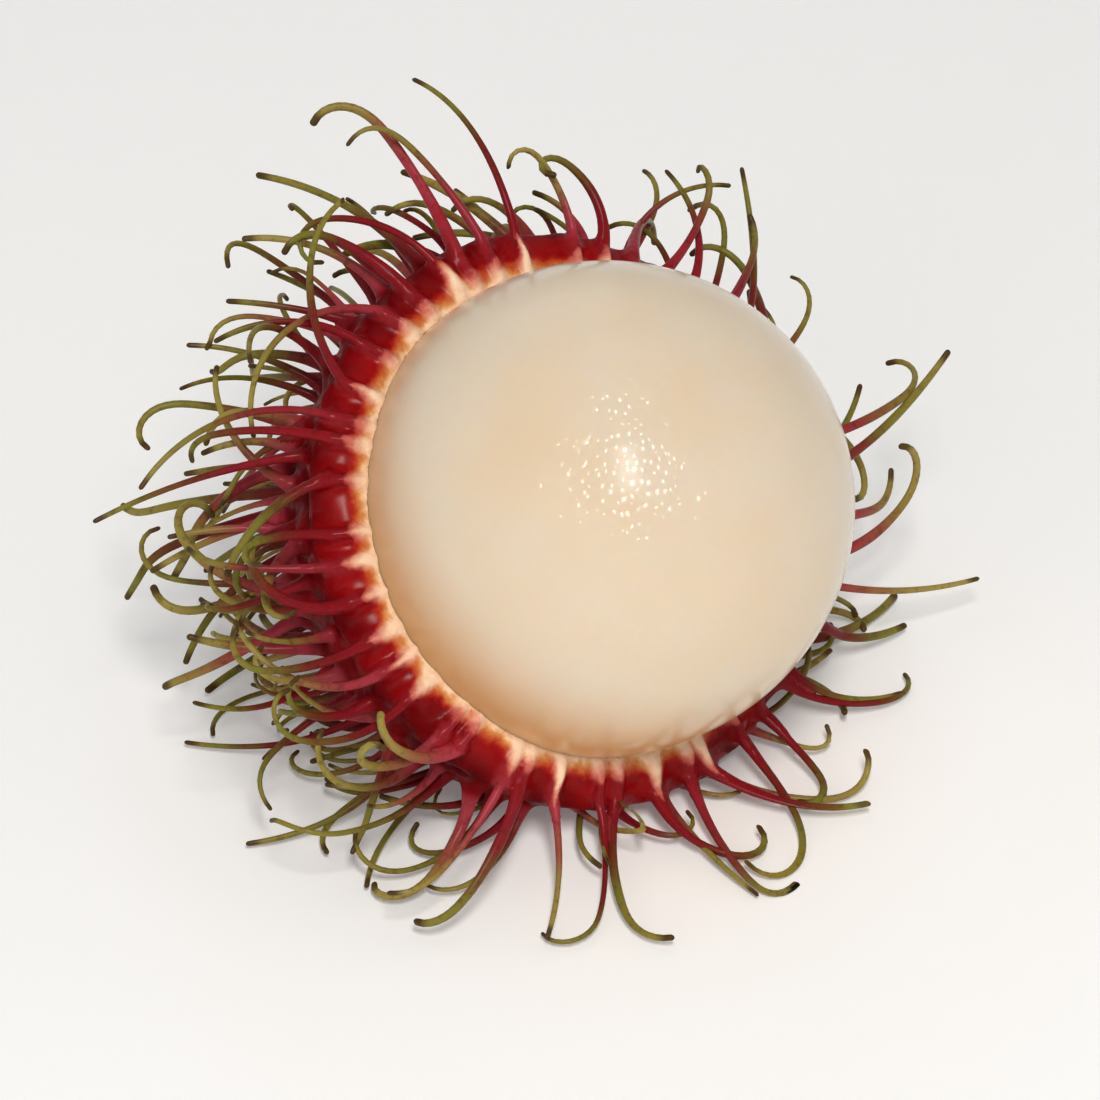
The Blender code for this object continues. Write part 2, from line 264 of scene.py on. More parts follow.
def spine_path(number, root, normal):
    """Points of a spine in the row frame, one STEP apart, from the rind's surface to the tip."""
    draw = random.Random(PATH_SEED + number)
    turn = FRUIT_TO_ROW.to_3x3()
    length = draw.uniform(*SPINE_LENGTH) * (FINE_SCALE if number >= FINE_FIRST else 1)
    aside = Vector((draw.gauss(0, 1), draw.gauss(0, 1), draw.gauss(0, 1))).cross(normal).normalized()
    direction = (turn @ (normal + aside * draw.uniform(0, SPINE_LEAN))).normalized()
    point = FRUIT_TO_ROW @ root
    around = math.atan2(normal.y, normal.x) % (2 * math.pi)
    clockwise = CLOCKWISE_ARC[0] < around < CLOCKWISE_ARC[1]
    if draw.random() < STRAY_SHARE:
        clockwise = not clockwise
    curl = Vector((0, 0, 1)) if point.z < LYING_ROOT else OPENING_AXIS
    wobble = Vector((draw.uniform(-1, 1), draw.uniform(-1, 1), draw.uniform(-1, 1)))
    axis = (curl * (-1 if clockwise else 1) + wobble * SPINE_WOBBLE).normalized()
    bend = draw.uniform(*SPINE_BEND)
    hook = draw.uniform(*SPINE_HOOK) if draw.random() < HOOKED_SHARE else 0.0
    points = [point]
    steps = round(length / STEP)
    for step in range(steps):
        along = (step + 0.5) / steps
        in_hook = max(0.0, along - HOOK_START) / (1 - HOOK_START)
        turning = (bend + 2 * in_hook * hook / (1 - HOOK_START)) / steps
        direction = Matrix.Rotation(turning, 3, axis) @ direction
        direction = off_surface(point, direction, FLOOR_GAP + spine_radius(along, length)).normalized()
        point = point + direction * (length / steps)
        points.append(point)
    return points, turn @ normal


RIM_ROOTS = list(rim_row())
ROOTS = RIM_ROOTS + list(lattice(WHOLE_FRUIT_SPINES, 0))
ROOTS += fine_lattice()
ROOT_POINTS = np.array([root for _, root, _ in ROOTS])


# ---------------------------------------------------------------- meshes


def mesh_object(name, points, faces, attributes):
    """A smooth mesh in the row frame, with a number per vertex for each attribute."""
    mesh = bpy.data.meshes.new(name)
    mesh.from_pydata(points.tolist(), [], faces)
    mesh.validate()
    for key, values in attributes.items():
        layer = mesh.attributes.new(key, "FLOAT", "POINT")
        layer.data.foreach_set("value", np.asarray(values, dtype=np.float32))
    mesh.shade_smooth()
    obj = bpy.data.objects.new(name, mesh)
    bpy.context.scene.collection.objects.link(obj)
    return obj


def noise_at(points, scale, seed):
    """Smooth noise, about -1 to 1, with features of the given size."""
    shift = Vector((seed * 17.3, seed * 5.1, seed * 9.7))
    return np.array([noise.noise(Vector(point) / scale + shift) for point in points])


def ring_frames(path):
    """Two axes square to the path at each of its points, turning as little as they can."""
    tangents = [(b - a).normalized() for a, b in zip(path, path[1:])]
    tangents.append(tangents[-1])
    across = tangents[0].orthogonal().normalized()
    for before, tangent in zip([tangents[0], *tangents], tangents):
        across = before.rotation_difference(tangent) @ across
        across = (across - tangent * across.dot(tangent)).normalized()
        yield tangent, across, tangent.cross(across)


def tube(stations, radii):
    """A closed round tube with these points along it and radii."""
    turns = np.arange(SPINE_SIDES) * 2 * math.pi / SPINE_SIDES
    rings = []
    for point, radius, (_, across, up) in zip(stations, radii, ring_frames(stations)):
        ring = np.outer(np.cos(turns), across) + np.outer(np.sin(turns), up)
        rings.append(np.array(point) + ring * radius)
    return np.concatenate([*rings, [np.array(stations[-1])]]), tube_faces(len(rings))


def shown_radius(number, share, length, foot=0.0):
    """The radius of a spine in the scene: slimmer than the solid's by the cut, and in the thin ones."""
    scale = random.Random(THICKNESS_SEED + number).uniform(*THICKNESS)
    if number >= FINE_FIRST:
        scale *= FINE_SCALE
    slimness = RIM_SLIMNESS if WHOLE_FRUIT_SPINES <= number < FINE_FIRST else 1
    share = max(share, 0)
    shaft = spine_radius(share, length) - FLARE_RADIUS * math.exp(-share * length / FLARE_LENGTH)
    flare = FLARE_RADIUS * math.exp(-share * length / FLARE_LENGTH)
    flare += foot * math.exp(-share * length / FOOT_LENGTH)
    return (shaft + flare * slimness) * scale


def stub(number, path, outwards):
    """The root of a spine, wider than the spine at the rind and narrower at its own end."""
    steps = round(STUB_LENGTH / STEP)
    length = (len(path) - 1) * STEP
    alongs = [max(0, step) * STEP for step in range(-len(ROOT_RINGS), steps + 1)]
    radii = [
        shown_radius(number, along / length, length, FOOT_RADIUS)
        - 0.14 * MM * smooth_step(0.6, 1, along / STUB_LENGTH)
        for along in alongs
    ]
    stations = [path[0] + outwards * depth for depth in ROOT_RINGS] + path[: steps + 1]
    points, faces = tube(stations, radii)
    return below_cut(points), faces


def rib_path(root, path):
    """Points of the ridge from the cut's inner edge out to a rim spine, and on along it."""
    angle = math.atan2(root.y, root.x)
    inner, outer = lip_radius_at(angle), math.hypot(root.x, root.y)
    points = []
    for share in RIB_SHARES:
        radius = inner + (outer - inner) * share
        height = RIM_HEIGHT + rim_wave(angle) + RIB_RISE * share
        points.append(FRUIT_TO_ROW @ Vector((radius * math.cos(angle), radius * math.sin(angle), height)))
    return points + path[1:4]


def spine_mesh(number, path, outwards):
    """One spine: its points, its faces, and how far along it each point is."""
    draw = random.Random(SECTION_SEED + number)
    length = (len(path) - 1) * STEP
    scale = FINE_SCALE if number >= FINE_FIRST else 1
    stations = [(path[0] + outwards * depth, depth / length) for depth in ROOT_RINGS]
    stations += [(point, step / (len(path) - 1)) for step, point in enumerate(path)]
    flat, spin, ridge = draw.uniform(0.72, 0.95), draw.uniform(0, math.pi), draw.uniform(0.02, 0.09)
    knots = [draw.uniform(-0.09, 0.09) for _ in range(6)]
    turns = np.arange(SPINE_SIDES) * 2 * math.pi / SPINE_SIDES
    section = 1 + ridge * np.cos(3 * turns + spin)
    rings, along = [], []
    frames = list(ring_frames([point for point, _ in stations]))
    for (point, share), (_, across, up) in zip(stations, frames):
        knot = np.interp(max(share, 0) * 5, range(6), knots) * min(1, max(0, share * 6))
        radius = shown_radius(number, share, length) * (1 + knot)
        settled = 1 + (flat - 1) * min(1, max(0, share * 5))
        wide = np.outer(np.cos(turns + spin) * section * radius, across)
        thick = np.outer(np.sin(turns + spin) * section * radius * settled, up)
        rings.append(np.array(point) + wide + thick)
        along.append(share)
    end, tangent = np.array(path[-1]), np.array(frames[-1][0]) * scale
    last = rings[-1] - end
    for step in range(1, TIP_RINGS):
        turned = math.pi / 2 * step / TIP_RINGS
        rings.append(end + last * math.cos(turned) + tangent * TIP_RADIUS * math.sin(turned))
        along.append(1.0)
    points = np.concatenate([*rings, [end + tangent * TIP_RADIUS]])
    along = np.repeat(along, SPINE_SIDES)
    faces = tube_faces(len(rings))
    return points, faces, np.append(along, 1.0) * length


def tube_faces(rings):
    """Quads between the rings, a fan to the last point, and the first ring's cap."""
    faces = [list(range(SPINE_SIDES))[::-1]]
    for ring in range(rings - 1):
        for side in range(SPINE_SIDES):
            a, b = ring * SPINE_SIDES + side, ring * SPINE_SIDES + (side + 1) % SPINE_SIDES
            faces.append([a, b, b + SPINE_SIDES, a + SPINE_SIDES])
    first = (rings - 1) * SPINE_SIDES
    for side in range(SPINE_SIDES):
        faces.append([first + side, first + (side + 1) % SPINE_SIDES, rings * SPINE_SIDES])
    return faces


PATHS = [(number, *spine_path(number, root, normal)) for number, root, normal in ROOTS]
TONES = np.array([random.Random(TONE_SEED + number).random() for number, _, _ in ROOTS])
LENGTHS = np.array([(len(path) - 1) * STEP / MM for _, path, _ in PATHS])


def joined(meshes):
    """Several (points, faces) as one."""
    points, faces, count = [], [], 0
    for own, own_faces in meshes:
        points.append(own)
        faces += [[index + count for index in face] for face in own_faces]
        count += len(own)
    return np.concatenate(points), faces


def below_cut(points):
    """Points of the row frame, pressed down softly to the rind's cut where they are over it."""
    fruit = moved(TO_FRUIT, points)
    beyond = np.hypot(fruit[:, 0], fruit[:, 1]) - OUTER_RADIUS
    highest = RIM_HEIGHT + rim_wave(np.arctan2(fruit[:, 1], fruit[:, 0]))
    highest += np.minimum(0, beyond) * CUT_SLOPES[0] + np.maximum(0, beyond) * CUT_SLOPES[1] - CUT_SINK
    fruit[:, 2] = -CUT_SOFTNESS * np.logaddexp(-fruit[:, 2] / CUT_SOFTNESS, -highest / CUT_SOFTNESS)
    return moved(TO_ROW, fruit)


def spines():
    """All the spines as one mesh, each cut where the rind is and lying on the surface under it."""
    parts, distance, tone, length = [], [], [], []
    for (number, path, outwards), own_tone, own_length in zip(PATHS, TONES, LENGTHS):
        own, own_faces, own_distance = spine_mesh(number, path, outwards)
        own = below_cut(own)
        own[:, 2] = np.maximum(own[:, 2], 0.5 * FLOOR_GAP)
        parts.append((own, own_faces))
        distance.append(own_distance / MM)
        tone.append(np.full(len(own), own_tone))
        length.append(np.full(len(own), own_length))
    points, faces = joined(parts)
    distance, length = np.concatenate(distance), np.concatenate(length)
    attributes = {"distance": distance, "share": distance / length, "left": length - distance}
    attributes |= {"tone": np.concatenate(tone), "ripe": ripeness(points, distance)}
    attributes |= {"pit": np.zeros(len(points)), "shaft": np.ones(len(points))}
    attributes["depth"] = np.ones(len(points))
    return mesh_object("spines", points, faces, attributes)


# ---------------------------------------------------------------- the rind


def turned_profile(radius, half_length, top, rows):
    """Radii and heights of an ellipse from the height `top` down to the closed end."""
    start = math.asin(top / half_length)
    turned = start - (start + math.pi / 2) * np.arange(rows + 1) / rows
    return radius * np.cos(turned), half_length * np.sin(turned)


def turned_grid(radii, heights, angles):
    """Rows of points of a turned surface, with the cut's waves dying out below it."""
    share = np.maximum(0, 1 - (RIM_HEIGHT - heights) / RIM_WAVE_DEPTH)
    z = heights[:, None] + share[:, None] * rim_wave(angles)[None, :]
    x = radii[:, None] * np.cos(angles)[None, :]
    y = radii[:, None] * np.sin(angles)[None, :]
    return np.stack([x, y, z], axis=-1)


def relief(points):
    """How far the rind stands out at each point: up to each spine, and along webs between them."""
    away = np.linalg.norm(points[:, None, :] - ROOT_POINTS[None, :, :], axis=-1)
    heights = np.where(np.arange(len(ROOTS)) < RIM_SPINES, RIM_MOUND, MOUND)
    mounds = heights * np.exp(-((away / MOUND_WIDTH) ** 2) / 2)
    mound = (mounds**3).sum(axis=1) ** (1 / 3)
    web = np.zeros(len(points))
    apart = np.linalg.norm(ROOT_POINTS[:, None, :] - ROOT_POINTS[None, :, :], axis=-1)
    for first, second in zip(*np.where((apart > 0) & (apart < WEB_REACH))):
        if first < second:
            detour = away[:, first] + away[:, second] - apart[first, second]
            height = RIM_WEB if second < RIM_SPINES else WEB
            web = np.maximum(web, height * np.exp(-detour / WEB_WIDTH))
    return np.maximum(mound, web) + 0.35 * np.minimum(mound, web)


def tooth_at(angles):
    """How near each angle is to a spine cut at the rim, 0 to 1."""
    near = np.zeros(len(angles))
    for number, root, _ in RIM_ROOTS:
        draw = random.Random(TOOTH_SEED + number)
        off = (angles - math.atan2(root.y, root.x) + math.pi) % (2 * math.pi) - math.pi
        width = draw.uniform(0.35, 0.85) * MM / OUTER_RADIUS
        near = np.maximum(near, draw.uniform(*TOOTH_STRENGTH) * np.exp(-((off / width) ** 2)))
    return near


def lip_radius_at(angles):
    """The radius of the cut's inner edge, which hugs the flesh."""
    height = RIM_HEIGHT + rim_wave(angles)
    return ARIL_RADIUS * np.sqrt(1 - (height / ARIL_HALF_LENGTH) ** 2) - LIP_BITE


def ripeness(points, distance):
    """How far each point's colour is from the cream inside, at 0, to the red skin, at 1."""
    fruit = moved(TO_FRUIT, points)
    angles = np.arctan2(fruit[:, 1], fruit[:, 0])
    out = (np.hypot(fruit[:, 0], fruit[:, 1]) - lip_radius_at(angles)) / MM
    fallen = np.maximum(0, RIM_HEIGHT + rim_wave(angles) - fruit[:, 2]) / MM
    mottle = noise_at(fruit, 0.8 * MM, 4) * 0.3 + noise_at(fruit, 0.35 * MM, 5) * 0.12
    cream_width = CREAM_WIDTH + TOOTH_CREAM * tooth_at(angles) ** 2 + mottle
    ripe = np.clip((out + 0.7 * fallen - cream_width) / RIPENING, 0, 1)
    ripe = np.maximum.reduce([ripe, smooth_step(2.0, 4.0, fallen), smooth_step(0.8, 3.0, distance)])
    inner = np.array([INNER_RADIUS, INNER_RADIUS, INNER_HALF_LENGTH])
    beyond = (np.linalg.norm(fruit / inner, axis=1) - 1) * INNER_RADIUS / MM
    return ripe * (1 - smooth_step(0.8, 1.6, fallen) * (1 - smooth_step(0.3, 0.9, beyond)))


def fused(points, faces):
    """One skin over closed meshes that overlap, softened where they meet: its points and triangles."""
    mesh = bpy.data.meshes.new("overlapping")
    mesh.from_pydata((points / MM).tolist(), [], faces)
    obj = bpy.data.objects.new("overlapping", mesh)
    bpy.context.scene.collection.objects.link(obj)
    remesh = obj.modifiers.new("fuse", "REMESH")
    remesh.mode = "VOXEL"
    remesh.voxel_size = VOXEL / MM
    soften = obj.modifiers.new("soften", "SMOOTH")
    soften.factor, soften.iterations = 0.5, 4
    thin_out = obj.modifiers.new("thin out", "DECIMATE")
    thin_out.ratio = FACES_KEPT
    thin_out.use_collapse_triangulate = True
    skin = obj.evaluated_get(bpy.context.evaluated_depsgraph_get()).to_mesh()
    places = np.empty(len(skin.vertices) * 3, dtype=np.float32)
    corners = np.empty(len(skin.loops), dtype=np.int32)
    skin.vertices.foreach_get("co", places)
    skin.loops.foreach_get("vertex_index", corners)
    bpy.data.objects.remove(obj)
    return places.reshape(-1, 3).astype(float) * MM, corners.reshape(-1, 3)


def nearest_spine(points, ribs):
    """For each point, its way along the nearest spine and off its axis, in mm, and that spine."""
    steps = round(STUB_LENGTH / STEP) + 2
    lines = [(path[:steps], 0) for _, path, _ in PATHS] + [(path, -len(RIB_SHARES)) for path in ribs]
    places = [
        (point.lerp(after, half / 2), spine % len(PATHS), max(0, step + first + half / 2) * STEP)
        for spine, (line, first) in enumerate(lines)
        for step, (point, after) in enumerate(zip(line, line[1:]))
        for half in (0, 1)
    ]
    tree = kdtree.KDTree(len(places))
    for index, (place, _, _) in enumerate(places):
        tree.insert(place, index)
    tree.balance()
    found = [tree.find(point) for point in points]
    spine = np.array([places[index][1] for _, index, _ in found])
    along = np.array([places[index][2] for _, index, _ in found])
    return along / MM, np.array([away for _, _, away in found]) / MM, spine


def rind():
    """The cup and the spines' roots as one closed skin."""
    ribs = [rib_path(root, path) for (_, root, _), (_, path, _) in zip(RIM_ROOTS, PATHS)]
    tubes = [tube(path, [RIB_RADIUS] * len(path)) for path in ribs]
    points, faces = fused(*joined([cup(), *tubes, *(stub(*path) for path in PATHS)]))
    fruit = moved(TO_FRUIT, points)
    along, away, spine = nearest_spine(points, ribs)
    scale = np.array([OUTER_RADIUS, OUTER_RADIUS, OUTER_HALF_LENGTH])
    rise = (np.linalg.norm(fruit / scale, axis=1) - 1) * OUTER_RADIUS / MM
    below = (RIM_HEIGHT + rim_wave(np.arctan2(fruit[:, 1], fruit[:, 0])) - fruit[:, 2]) / MM
    # Low skin between the spines, below the cut: the finish paints dark crimson shade there
    pit = (1 - smooth_step(0.0, 0.9, rise)) * smooth_step(1.5, 3.5, below)
    shaft = 1 - smooth_step(0.3, 0.75, away) * (1 - smooth_step(1.0, 3.0, along))
    points[:, 2] = np.maximum(points[:, 2], 0)
    # Grows away from the cut; the finish paints the skin darker there, as shade between the dense spines
    depth = smooth_step(1.5, 5.0, (np.linalg.norm(fruit[:, :2], axis=1) - INNER_RADIUS) / MM + below)
    attributes = {"distance": along, "share": along / LENGTHS[spine], "left": LENGTHS[spine] - along}
    attributes |= {"tone": TONES[spine], "ripe": ripeness(points, along)}
    attributes |= {"pit": pit, "shaft": shaft, "depth": depth}
    return mesh_object("rind_cup", points, faces.tolist(), attributes)


def cup():
    """The cup alone, closed: up the inside, over the cut, and down the outside."""
    angles = np.arange(RIND_COLUMNS) * 2 * math.pi / RIND_COLUMNS
    outside = turned_grid(
        *turned_profile(OUTER_RADIUS, OUTER_HALF_LENGTH, RIM_HEIGHT, OUTER_ROWS), angles
    )
    flat_points = outside.reshape(-1, 3)
    normals = flat_points / np.array([OUTER_RADIUS, OUTER_RADIUS, OUTER_HALF_LENGTH]) ** 2
    normals /= np.linalg.norm(normals, axis=1)[:, None]
    rise = relief(flat_points)
    pebbles = noise_at(flat_points, 1.1 * MM, 1) * 0.14 + noise_at(flat_points, 0.45 * MM, 2) * 0.05
    outside = (flat_points + normals * (rise + pebbles * MM)[:, None]).reshape(outside.shape)

    inside = turned_grid(
        *turned_profile(INNER_RADIUS, INNER_HALF_LENGTH, RIM_HEIGHT - 0.7 * MM, INNER_ROWS), angles
    )
    lip_radius = lip_radius_at(angles)
    lip_height = RIM_HEIGHT + rim_wave(angles)
    lip = np.stack([lip_radius * np.cos(angles), lip_radius * np.sin(angles), lip_height], axis=-1)
    tooth = tooth_at(angles)
    share = (np.arange(CUT_ROWS + 1) / (CUT_ROWS + 1))[:, None, None]
    drop = SHOULDER_DROP * (1 - 0.85 * tooth)[None, :]
    depth = np.linalg.norm(outside - outside[0][None], axis=-1)
    outside[:, :, 2] -= drop * (1 - smooth_step(0, 4 * MM, depth))
    cut = lip[None] * (1 - share) + outside[0][None] * share
    round_off = share[:, :, 0] - share[:, :, 0] ** 3
    cut[:, :, 2] += drop * round_off * 0.8
    bulge = 0.12 * np.sin(math.pi * np.clip(share[:, :, 0] * 1.15, 0, 1)) + 0.25 * tooth[None, :]
    rough = noise_at(cut.reshape(-1, 3), 0.5 * MM, 3).reshape(cut.shape[:2]) * 0.07
    edge = smooth_step(0, 0.15, share[:, :, 0]) * (1 - smooth_step(0.9, 1, share[:, :, 0]) * 0.5)
    cut[:, :, 2] += (bulge + rough) * edge * MM

    rows = [*inside[::-1], *cut, *outside]
    points = np.concatenate(rows[1:-1])
    bottom = len(points)
    points = np.concatenate([points, [inside[-1].mean(axis=0), outside[-1].mean(axis=0)]])
    return moved(TO_ROW, points), turned_faces(len(rows) - 2, bottom)


def turned_faces(rows, bottom):
    """Quads between the rows and a fan at each end."""
    faces = []
    for row in range(rows - 1):
        for column in range(RIND_COLUMNS):
            following = (column + 1) % RIND_COLUMNS
            a, b = row * RIND_COLUMNS + column, row * RIND_COLUMNS + following
            faces.append([a, b, b + RIND_COLUMNS, a + RIND_COLUMNS][::-1])
    last = (rows - 1) * RIND_COLUMNS
    for column in range(RIND_COLUMNS):
        following = (column + 1) % RIND_COLUMNS
        faces.append([following, column, bottom][::-1])
        faces.append([last + column, last + following, bottom + 1][::-1])
    return faces


def scar():
    """The woody boss at the closed end: a low cone with a rough, sunken top."""
    rings, columns = 12, 48
    angles = np.arange(columns) * 2 * math.pi / columns
    points = []
    for ring in range(rings):
        share = ring / (rings - 1)
        radius = SCAR_RADIUS * (1.12 - 0.42 * smooth_step(0, 0.55, share) - 0.6 * max(0, share - 0.55))
        height = SCAR_HEIGHT * (smooth_step(0, 0.5, share) - 0.35 * smooth_step(0.6, 1, share))
        below = -OUTER_HALF_LENGTH + 0.5 * MM - height - 0.5 * MM * (share > 0)
        points.append(np.stack([radius * np.cos(angles), radius * np.sin(angles), 0 * angles + below], -1))
    points = np.concatenate(points)
    rough = noise_at(points, 0.5 * MM, 6) * 0.12 * MM
    points[:, 2] -= rough
    top = points[-columns:].mean(axis=0)
    points = np.concatenate([points, [top]])
    faces = [list(range(columns))[::-1]]
    for ring in range(rings - 1):
        for column in range(columns):
            a, b = ring * columns + column, ring * columns + (column + 1) % columns
            faces.append([a, b, b + columns, a + columns])
    first = (rings - 1) * columns
    for column in range(columns):
        faces.append([first + column, first + (column + 1) % columns, rings * columns])
    faces = [face[::-1] for face in faces]
    return mesh_object("stalk_scar", moved(TO_ROW, points), faces, {})


def aril():
    """The flesh: a very slightly uneven ellipsoid."""
    rows, columns = 110, 200
    points = [np.array([[0, 0, 1.0]])]
    angles = np.arange(columns) * 2 * math.pi / columns
    for row in range(1, rows):
        turned = math.pi * row / rows
        ring = np.stack([np.sin(turned) * np.cos(angles), np.sin(turned) * np.sin(angles)], -1)
        points.append(np.concatenate([ring, np.full((columns, 1), math.cos(turned))], axis=1))
    points = np.concatenate([*points, [[0, 0, -1.0]]])
    uneven = noise_at(points, 0.9, 8) * 0.003 + noise_at(points, 0.28, 9) * 0.0008
    points = points * (1 + uneven)[:, None]
    height = points[:, 2] * ARIL_HALF_LENGTH
    points = points * np.array([ARIL_RADIUS, ARIL_RADIUS, ARIL_HALF_LENGTH])
    faces = []
    for column in range(columns):
        following = (column + 1) % columns
        faces.append([0, 1 + column, 1 + following])
        last = 1 + (rows - 2) * columns
        faces.append([last + following, last + column, last + columns])
        for row in range(rows - 2):
            a, b = 1 + row * columns + column, 1 + row * columns + following
            faces.append([a, a + columns, b + columns, b])
    points = moved(TO_ROW, points)
    above = (height - RIM_HEIGHT) / MM
    upper = (points[:, 2] - FRUIT_TO_ROW.translation.z) / MM
    # Painted shade: the flesh is tan low down by the rind and on its lower side, and paler higher up
    pale = (above + 0.42 * upper + 1) / 12
    outward = points - np.array(FRUIT_TO_ROW.translation)
    outward /= np.linalg.norm(outward, axis=1)[:, None]
    off_juice = np.degrees(np.arccos(np.clip(outward @ JUICE_MIDDLE, -1, 1)))
    attributes = {"above_rim": above, "pale": pale, "off_juice": off_juice}
    return mesh_object("aril_flesh", points, faces, attributes)


# ---------------------------------------------------------------- materials


def srgb(red, green, blue):
    """A colour from its screen values, 0 to 255, as linear red, green, blue and full alpha."""
    linear = [((c / 255 + 0.055) / 1.055) ** 2.4 if c > 10 else c / 255 / 12.92 for c in (red, green, blue)]
    return (*linear, 1)


class Finish:
    """A node material with a Principled shader, and short ways to add to it."""

    def __init__(self, name, **settings):
        self.material = bpy.data.materials.new(name)
        self.material.use_nodes = True
        self.nodes = self.material.node_tree.nodes
        self.links = self.material.node_tree.links
        self.shader = self.nodes["Principled BSDF"]
        self.coordinates = self.nodes.new("ShaderNodeTexCoord").outputs["Object"]
        for key, value in settings.items():
            self.shader.inputs[key.replace("_", " ")].default_value = value

    def put(self, value, socket):
        """A number, a colour or another node's output into a socket."""
        if isinstance(value, bpy.types.NodeSocket):
            self.links.new(value, socket)
        else:
            socket.default_value = value

    def attribute(self, name):
        """The mesh's own number of that name."""
        node = self.nodes.new("ShaderNodeAttribute")
        node.attribute_name = name
        return node.outputs["Fac"]

    def noise(self, size, detail=3.0):
        """Noise, 0 to 1, with features of about the given size in metres."""
        node = self.nodes.new("ShaderNodeTexNoise")
        self.links.new(self.coordinates, node.inputs["Vector"])
        for key, value in (("Scale", 1 / size), ("Detail", detail), ("Roughness", 0.55)):
            node.inputs[key].default_value = value
        return node.outputs["Fac"]

    def cells(self, size, feature="SMOOTH_F1"):
        """Distance to the middle of rounded cells of about the given size in metres."""
        node = self.nodes.new("ShaderNodeTexVoronoi")
        node.feature = feature
        self.links.new(self.coordinates, node.inputs["Vector"])
        node.inputs["Scale"].default_value = 1 / size
        return node.outputs["Distance"]

    def sum(self, first, second, operation="ADD"):
        """Both numbers added, or joined by another operation of the Math node."""
        node = self.nodes.new("ShaderNodeMath")
        node.operation = operation
        self.put(first, node.inputs[0])
        self.put(second, node.inputs[1])
        return node.outputs[0]

    def span(self, value, low, high, new_low=0.0, new_high=1.0):
        """The value's place between low and high, smoothly limited, on the new span."""
        node = self.nodes.new("ShaderNodeMapRange")
        node.interpolation_type = "SMOOTHSTEP"
        self.put(value, node.inputs["Value"])
        for key, limit in zip(("From Min", "From Max", "To Min", "To Max"), (low, high, new_low, new_high)):
            node.inputs[key].default_value = limit
        return node.outputs["Result"]

    def ramp(self, value, *stops):
        """A colour from the value, with (place, colour) stops."""
        node = self.nodes.new("ShaderNodeValToRGB")
        elements = node.color_ramp.elements
        elements[0].position, elements[0].color = stops[0]
        elements[1].position, elements[1].color = stops[-1]
        for place, colour in stops[1:-1]:
            element = elements.new(place)
            element.color = colour
        self.put(value, node.inputs["Fac"])
        return node.outputs["Color"]

    def mix(self, share, first, second):
        """The first colour at 0, the second at 1."""
        node = self.nodes.new("ShaderNodeMix")
        node.data_type = "RGBA"
        self.put(share, node.inputs["Factor"])
        colours = [socket for socket in node.inputs if socket.type == "RGBA"]
        self.put(first, colours[0])
        self.put(second, colours[1])
        return next(socket for socket in node.outputs if socket.type == "RGBA")

    def bump(self, height, distance, strength=1.0):
        """A bump whose height of 1 is that distance in metres."""
        node = self.nodes.new("ShaderNodeBump")
        self.put(height, node.inputs["Height"])
        node.inputs["Distance"].default_value = distance
        node.inputs["Strength"].default_value = strength
        return node.outputs["Normal"]

    def set(self, key, value):
        """A number, a colour or another node's output as the shader's input of that name."""
        self.put(value, self.shader.inputs[key])


CREAM = srgb(250, 217, 184)
# Painted shade for the low skin between the spines
PIT_SHADE_CRIMSON = srgb(54, 3, 6)


